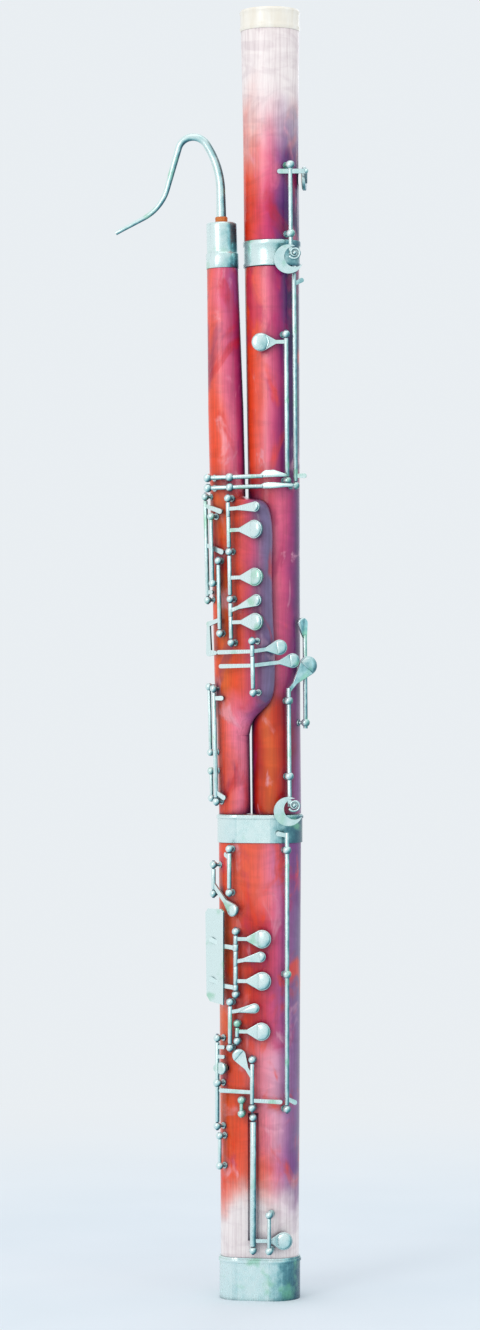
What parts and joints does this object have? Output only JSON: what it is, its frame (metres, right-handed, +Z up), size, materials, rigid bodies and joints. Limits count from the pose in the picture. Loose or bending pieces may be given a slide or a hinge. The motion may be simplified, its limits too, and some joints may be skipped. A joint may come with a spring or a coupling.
{
  "type": "bassoon",
  "caption": "Double-tube woodwind with a curved metal crook, sprung keys on rods and posts, a folded bore and an open bell.",
  "frame": {"origin": "centre of the boot cap's underside", "axes": "+Z up the instrument, +X towards the long joint's side, -Y the finger side (front)"},
  "size_m": [0.21, 0.0988, 1.3372],
  "materials": {
    "maple": "stained and varnished maple",
    "pad_leather": "thin pale leather",
    "cork": "waxed cork",
    "ivory": "ivory-white resin",
    "liner_rubber": "hard rubber",
    "steel": "blued tool steel",
    "silver_plate": "silver plate on nickel silver"
  },
  "bodies": {
    "body": {"boot_joint": "maple", "boot_band": "silver_plate", "boot_cap": "silver_plate", "u_tube": "silver_plate", "wing_joint": "maple", "wing_bore_liner": "liner_rubber", "wing_ferrule": "silver_plate", "long_joint": "maple", "bell_joint": "maple", "bell_ferrule": "silver_plate", "bell_ring": "ivory", "tenon_corks": "cork", "strap_eye": "silver_plate", "wing_posts": "silver_plate", "long_joint_posts": "silver_plate", "boot_posts": "silver_plate", "key_axles": "steel", "guard_rods": "silver_plate"},
    "wing_upper_touch": {"wing_upper_touch": "silver_plate"},
    "finger_key_1": {"finger_key_1": "silver_plate", "finger_key_1_pad": "pad_leather"},
    "finger_key_2": {"finger_key_2": "silver_plate", "finger_key_2_pad": "pad_leather"},
    "wing_lower_touch": {"wing_lower_touch": "silver_plate"},
    "finger_key_3": {"finger_key_3": "silver_plate", "finger_key_3_pad": "pad_leather"},
    "wing_side_key": {"wing_side_key": "silver_plate"},
    "wing_crook_lever": {"wing_crook_lever": "silver_plate"},
    "thumb_lever_upper": {"thumb_lever_upper": "silver_plate"},
    "thumb_lever_lower": {"thumb_lever_lower": "silver_plate"},
    "wing_link_rod": {"wing_link_rod": "silver_plate"},
    "upper_cross_lever": {"upper_cross_lever": "silver_plate"},
    "lower_cross_lever": {"lower_cross_lever": "silver_plate"},
    "long_joint_key": {"long_joint_key": "silver_plate", "long_joint_key_pad": "pad_leather"},
    "bell_link_rod": {"bell_link_rod": "silver_plate"},
    "bell_key": {"bell_key": "silver_plate", "bell_key_pad": "pad_leather"},
    "side_touch_key": {"side_touch_key": "silver_plate"},
    "great_spatula_key": {"great_spatula_key": "silver_plate"},
    "finger_key_4": {"finger_key_4": "silver_plate", "finger_key_4_pad": "pad_leather"},
    "boot_upper_touch": {"boot_upper_touch": "silver_plate"},
    "finger_key_5": {"finger_key_5": "silver_plate", "finger_key_5_pad": "pad_leather"},
    "guard_plate_key": {"guard_plate_key": "silver_plate"},
    "boot_lower_touch": {"boot_lower_touch": "silver_plate"},
    "finger_key_6": {"finger_key_6": "silver_plate", "finger_key_6_pad": "pad_leather"},
    "pancake_key": {"pancake_key": "silver_plate"},
    "oval_pad_key": {"oval_pad_key": "silver_plate", "oval_pad_key_pad": "pad_leather"},
    "boot_upper_link_rod": {"boot_upper_link_rod": "silver_plate"},
    "boot_side_key": {"boot_side_key": "silver_plate", "boot_side_key_pad": "pad_leather"},
    "low_key": {"low_key": "silver_plate", "low_key_pad": "pad_leather"},
    "boot_link_rod": {"boot_link_rod": "silver_plate"},
    "bocal": {"bocal": "silver_plate", "bocal_cork": "cork"}
  },
  "joints": [
    {"name": "wing_upper_touch_pivot", "type": "hinge", "parent": "body", "child": "wing_upper_touch", "pos_m": [-0.03317, -0.03129, 0.81721], "axis": [-0.0237, 0, 0.9997], "range_deg": [0, 6], "stiffness_Nm_per_rad": 0.15, "springref_deg": -5.73},
    {"name": "finger_key_1_pivot", "type": "hinge", "parent": "body", "child": "finger_key_1", "pos_m": [-0.03262, -0.03129, 0.79392], "axis": [-0.0237, 0, 0.9997], "range_deg": [0, 4.2], "stiffness_Nm_per_rad": 0.15, "springref_deg": -5.73},
    {"name": "finger_key_2_pivot", "type": "hinge", "parent": "body", "child": "finger_key_2", "pos_m": [-0.03156, -0.03129, 0.74943], "axis": [-0.0237, 0, 0.9997], "range_deg": [0, 4.2], "stiffness_Nm_per_rad": 0.15, "springref_deg": -5.73},
    {"name": "wing_lower_touch_pivot", "type": "hinge", "parent": "body", "child": "wing_lower_touch", "pos_m": [-0.03072, -0.03129, 0.71374], "axis": [-0.0237, 0, 0.9997], "range_deg": [0, 6], "stiffness_Nm_per_rad": 0.15, "springref_deg": -5.73},
    {"name": "finger_key_3_pivot", "type": "hinge", "parent": "body", "child": "finger_key_3", "pos_m": [-0.03028, -0.03129, 0.69545], "axis": [-0.0237, 0, 0.9997], "range_deg": [0, 4.2], "stiffness_Nm_per_rad": 0.15, "springref_deg": -5.73},
    {"name": "wing_side_key_pivot", "type": "hinge", "parent": "body", "child": "wing_side_key", "pos_m": [-0.05574, -0.0099, 0.77787], "axis": [0.0237, 0, -0.9997], "range_deg": [0, 4], "stiffness_Nm_per_rad": 0.15, "springref_deg": -5.73},
    {"name": "wing_crook_lever_pivot", "type": "hinge", "parent": "body", "child": "wing_crook_lever", "pos_m": [-0.04254, -0.0228, 0.72716], "axis": [0.0237, 0, -0.9997], "range_deg": [0, 4], "stiffness_Nm_per_rad": 0.15, "springref_deg": -5.73},
    {"name": "thumb_lever_upper_pivot", "type": "hinge", "parent": "body", "child": "thumb_lever_upper", "pos_m": [-0.00841, -0.04905, 0.67151], "axis": [-0.0237, 0, 0.9997], "range_deg": [0, 3.5], "stiffness_Nm_per_rad": 0.15, "springref_deg": -5.73},
    {"name": "thumb_lever_lower_pivot", "type": "hinge", "parent": "body", "child": "thumb_lever_lower", "pos_m": [-0.00788, -0.04905, 0.64916], "axis": [-0.0237, 0, 0.9997], "range_deg": [0, 3.5], "stiffness_Nm_per_rad": 0.15, "springref_deg": -5.73},
    {"name": "wing_link_rod_pivot", "type": "hinge", "parent": "body", "child": "wing_link_rod", "pos_m": [-0.04691, -0.01483, 0.57402], "axis": [-0.0237, 0, 0.9997], "range_deg": [0, 4], "stiffness_Nm_per_rad": 0.15, "springref_deg": -5.73},
    {"name": "upper_cross_lever_pivot", "type": "hinge", "parent": "body", "child": "upper_cross_lever", "pos_m": [-0.05796, -0.02, 0.85033], "axis": [0.9733, -0.2284, 0.0231], "range_deg": [0, 7], "stiffness_Nm_per_rad": 0.15, "springref_deg": -5.73},
    {"name": "lower_cross_lever_pivot", "type": "hinge", "parent": "body", "child": "lower_cross_lever", "pos_m": [-0.05771, -0.02, 0.83984], "axis": [0.9733, -0.2284, 0.0231], "range_deg": [0, 7], "stiffness_Nm_per_rad": 0.15, "springref_deg": -5.73},
    {"name": "long_joint_key_pivot", "type": "hinge", "parent": "body", "child": "long_joint_key", "pos_m": [0.02713, -0.03419, 0.9226], "axis": [0.0087, 0, -1], "range_deg": [0, 4.2], "stiffness_Nm_per_rad": 0.15, "springref_deg": -5.73},
    {"name": "bell_link_rod_pivot", "type": "hinge", "parent": "body", "child": "bell_link_rod", "pos_m": [0.03556, -0.02927, 0.95368], "axis": [-0.0087, 0, 1], "range_deg": [0, 5], "stiffness_Nm_per_rad": 0.15, "springref_deg": -5.73},
    {"name": "bell_key_pivot", "type": "hinge", "parent": "body", "child": "bell_key", "pos_m": [0.03104, -0.0325, 1.12764], "axis": [-0.0087, 0, 1], "range_deg": [0, 6], "stiffness_Nm_per_rad": 0.15, "springref_deg": -5.73},
    {"name": "side_touch_key_pivot", "type": "hinge", "parent": "body", "child": "side_touch_key", "pos_m": [0.0465, -0.01433, 0.63976], "axis": [-0.0087, 0, 1], "range_deg": [0, 6], "stiffness_Nm_per_rad": 0.15, "springref_deg": -5.73},
    {"name": "great_spatula_key_pivot", "type": "hinge", "parent": "body", "child": "great_spatula_key", "pos_m": [0.02969, -0.03105, 0.57211], "axis": [-0.0087, 0, 1], "range_deg": [0, 5], "stiffness_Nm_per_rad": 0.15, "springref_deg": -5.73},
    {"name": "finger_key_4_pivot", "type": "hinge", "parent": "body", "child": "finger_key_4", "pos_m": [-0.0255, -0.02958, 0.3733], "axis": [0, 0, 1], "range_deg": [0, 4.2], "stiffness_Nm_per_rad": 0.15, "springref_deg": -5.73},
    {"name": "boot_upper_touch_pivot", "type": "hinge", "parent": "body", "child": "boot_upper_touch", "pos_m": [-0.0255, -0.02958, 0.354], "axis": [0, 0, 1], "range_deg": [0, 6], "stiffness_Nm_per_rad": 0.15, "springref_deg": -5.73},
    {"name": "finger_key_5_pivot", "type": "hinge", "parent": "body", "child": "finger_key_5", "pos_m": [-0.0255, -0.02958, 0.33655], "axis": [0, 0, 1], "range_deg": [0, 4.2], "stiffness_Nm_per_rad": 0.15, "springref_deg": -5.73},
    {"name": "guard_plate_key_pivot", "type": "hinge", "parent": "body", "child": "guard_plate_key", "pos_m": [-0.0255, -0.02958, 0.3495], "axis": [0, 0, -1], "range_deg": [0, 4], "stiffness_Nm_per_rad": 0.15, "springref_deg": -5.73},
    {"name": "boot_lower_touch_pivot", "type": "hinge", "parent": "body", "child": "boot_lower_touch", "pos_m": [-0.0312, -0.02867, 0.2855], "axis": [0, 0, 1], "range_deg": [0, 6], "stiffness_Nm_per_rad": 0.15, "springref_deg": -5.73},
    {"name": "finger_key_6_pivot", "type": "hinge", "parent": "body", "child": "finger_key_6", "pos_m": [-0.024, -0.02982, 0.278], "axis": [0, 0, 1], "range_deg": [0, 4.2], "stiffness_Nm_per_rad": 0.15, "springref_deg": -5.73},
    {"name": "pancake_key_pivot", "type": "hinge", "parent": "body", "child": "pancake_key", "pos_m": [-0.0085, -0.03279, 0.225], "axis": [0, 0, -1], "range_deg": [0, 3], "stiffness_Nm_per_rad": 0.15, "springref_deg": -5.73},
    {"name": "oval_pad_key_pivot", "type": "hinge", "parent": "body", "child": "oval_pad_key", "pos_m": [-0.0445, -0.01882, 0.2255], "axis": [0, 0, 1], "range_deg": [0, 4], "stiffness_Nm_per_rad": 0.15, "springref_deg": -5.73},
    {"name": "boot_upper_link_rod_pivot", "type": "hinge", "parent": "body", "child": "boot_upper_link_rod", "pos_m": [-0.032, -0.02879, 0.4445], "axis": [0, 0, 1], "range_deg": [0, 4], "stiffness_Nm_per_rad": 0.15, "springref_deg": -5.73},
    {"name": "boot_side_key_pivot", "type": "hinge", "parent": "body", "child": "boot_side_key", "pos_m": [-0.0485, -0.01209, 0.435], "axis": [0, 0, 1], "range_deg": [0, 5], "stiffness_Nm_per_rad": 0.15, "springref_deg": -5.73},
    {"name": "low_key_pivot", "type": "hinge", "parent": "body", "child": "low_key", "pos_m": [-0.0075, -0.0306, 0.1215], "axis": [0, 0, 1], "range_deg": [0, 4], "stiffness_Nm_per_rad": 0.15, "springref_deg": -5.73},
    {"name": "boot_link_rod_pivot", "type": "hinge", "parent": "body", "child": "boot_link_rod", "pos_m": [0.0275, -0.03314, 0.3415], "axis": [0, 0, 1], "range_deg": [0, 5], "stiffness_Nm_per_rad": 0.15, "springref_deg": -5.73},
    {"name": "bocal_pivot", "type": "hinge", "parent": "body", "child": "bocal", "pos_m": [-0.04025, 0, 1.11633], "axis": [-0.0237, 0, 0.9997], "range_deg": [-12, 12]}
  ],
  "couplings": [
    {"joint": "bell_link_rod_pivot", "follows": "bell_key_pivot", "ratio": 0.8},
    {"joint": "boot_link_rod_pivot", "follows": "great_spatula_key_pivot", "ratio": 0.9}
  ]
}
